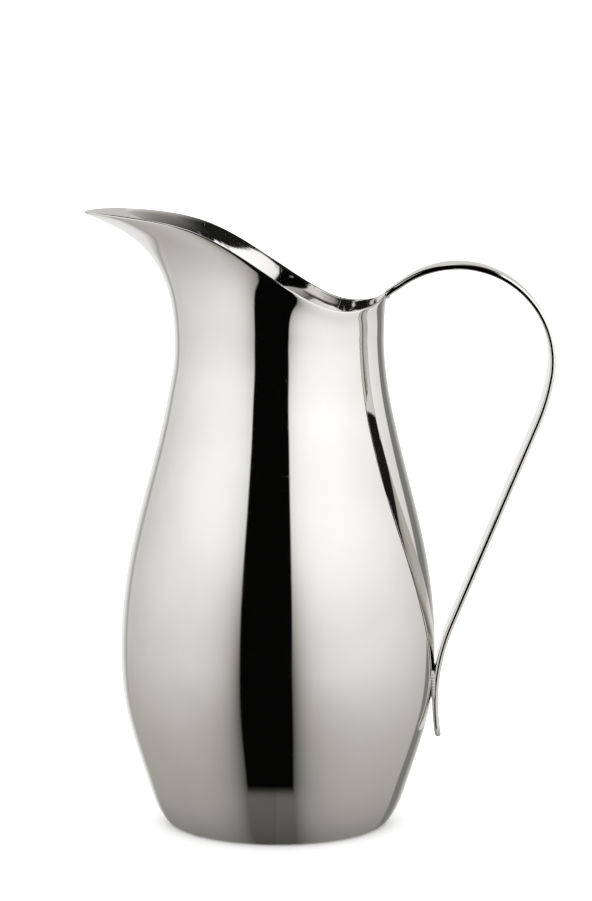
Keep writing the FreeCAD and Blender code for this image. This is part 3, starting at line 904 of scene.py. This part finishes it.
def tent_glow(bearing, distance, radius):
    """How bright the cloth is, at a bearing and at a distance along the cloth."""
    glow = plain_glow(bearing, distance)
    left = GAP_LEFT + turned_in(radius, GAP_OFFSET)
    beside = np.maximum(left - bearing, bearing - GAP_RIGHT)
    shade = GAP_SHADE - SHADE_LESS_LOW * ramp(distance, *SHADE_LOW)
    shade = shade - SHADE_LESS_HIGH * ramp(distance, *SHADE_HIGH)
    glow = glow * (1 - shade * np.exp(-np.maximum(beside, 0) / GAP_SHADE_WIDTH))
    glow = with_backdrop(glow, bearing, distance, radius)

    climb = LIT_TOP_FRONT + LIT_TOP_CLIMB * np.maximum(bearing, 0) ** LIT_TOP_POWER
    lit = np.where(bearing < LEFT_EDGE, LIT_TOP_LEFT, np.minimum(climb, LIT_TOP_RIGHT))
    lit = np.where(np.abs(bearing) > BACK_START, WALL_TOP, lit)
    dark = np.where(distance < WALL_TOP, DARK_GLOW, roof_glow(bearing, radius))
    glow = np.where(distance > lit, dark, glow)

    gap = np.clip(-beside / GAP_SOFT_SIDE, 0, 1)
    gap = gap * np.clip((distance - GAP_FOOT) / GAP_SOFT_FOOT, 0, 1)
    gap = gap * np.clip((GAP_TOP - distance) / GAP_SOFT_TOP, 0, 1)
    return mix(glow, GAP_GLOW, gap)


def lit_cloth():
    """Cloth that shines as brightly as its "glow" attribute says, and warmer where it is dim."""
    nodes = Nodes("lit_cloth")
    glow = nodes.attribute("glow")
    tint = nodes.blend(nodes.levels(glow, 0.35, 0.95), (1.0, 0.985, 0.915), (1.0, 0.995, 0.985))
    light = nodes.add("ShaderNodeEmission", Color=tint, Strength=glow)
    nodes.set(nodes.tree.nodes["Material Output"].inputs["Surface"], light.outputs[0])
    nodes.tree.nodes.remove(nodes.shader)
    nodes.material.cycles.emission_sampling = "NONE"
    return nodes.material


def make_tent(name, first, last, cloth):
    """The cloth between two bearings, which only shows in reflections."""
    floor = FLOOR_START + (TENT_RADIUS - FLOOR_START) * np.linspace(0, 1, FLOOR_ROWS) ** FLOOR_CROWDING
    wall = TENT_HEIGHT * np.linspace(0, 1, WALL_ROWS)[1:]
    roof = TENT_RADIUS * np.linspace(1, 0, ROOF_ROWS)[1:-1]
    radius = np.concatenate([[MIDDLE], floor, np.full_like(wall, TENT_RADIUS), roof, [MIDDLE]])
    low, high = -TENT_DROP, TENT_HEIGHT
    height = np.concatenate([[low], np.full_like(floor, low), wall, np.full_like(roof, high), [high]])
    distance = np.where(height < high, radius + np.maximum(height, 0), WALL_TOP + TENT_RADIUS - radius)
    bearing = np.arange(first, last + TENT_STEP / 2, TENT_STEP)
    turn = np.radians(bearing) + CAMERA_BEARING
    bearing = np.where(bearing > 180, bearing - 360, bearing)
    circle = np.stack([np.sin(turn), -np.cos(turn)], -1)
    rows = np.empty((len(radius), len(bearing), 3))
    rows[..., :2] = radius[:, None, None] * circle
    rows[..., 2] = height[:, None]
    tent = grid_mesh(name, rows, (cloth,), open_rows=True)
    glow = tent_glow(bearing[None, :], distance[:, None], radius[:, None])
    layer = tent.data.attributes.new("glow", "FLOAT", "POINT")
    layer.data.foreach_set("value", glow.astype(np.float32).ravel())
    tent.visible_camera = False
    tent.visible_diffuse = False
    tent.visible_transmission = False
    tent.visible_shadow = False
    return tent


def keep_dark(cloth, piece):
    """Light linking leaves this stretch of cloth out of what lights the piece."""
    shaded = bpy.data.collections.new("shaded_pieces")
    shaded.objects.link(piece)
    shaded.collection_objects[0].light_linking.link_state = "EXCLUDE"
    cloth.light_linking.receiver_collection = shaded


make_camera()
make_world(WORLD_BRIGHTNESS)
make_floor()
cloth = lit_cloth()
make_tent("light_tent", SHADED_STRETCH[1], SHADED_STRETCH[0] + 360.0, cloth)
shaded_cloth = make_tent("shaded_cloth", *SHADED_STRETCH, cloth)
mirror = steel(
    "mirror_steel",
    MIRROR_COLOUR,
    roughness=0.02,
    lines=0.02,
    line_height=6e-8,
    waviness=5e-6,
    foot_wear=True,
)
inner = steel(
    "inner_polish",
    INNER_COLOUR,
    roughness=0.03,
    lines=0.04,
    line_height=8e-7,
    waviness=1.2e-5,
    scratched=0.25,
)
strap = steel(
    "strap_polish",
    MIRROR_COLOUR,
    roughness=0.02,
    lines=0.02,
    line_height=3e-8,
    waviness=3e-6,
    attribute="across",
)
satin = steel("satin_steel", SATIN_COLOUR, roughness=0.20, lines=0.12, line_height=3e-6, waviness=6e-6)
weld = weld_steel("weld_metal")
make_body(mirror, inner)
keep_dark(shaded_cloth, make_strap(strap))
make_upper_weld(weld)
make_lower_weld("side_weld_bead_left", "lower_handle_weld_left", 1, weld)
make_lower_weld("side_weld_bead_right", "lower_handle_weld_right", -1, weld)
make_base_disc(satin)
make_seam_weld(weld)

bpy.context.scene.view_settings.view_transform = "Standard"
bpy.context.view_layer.update()
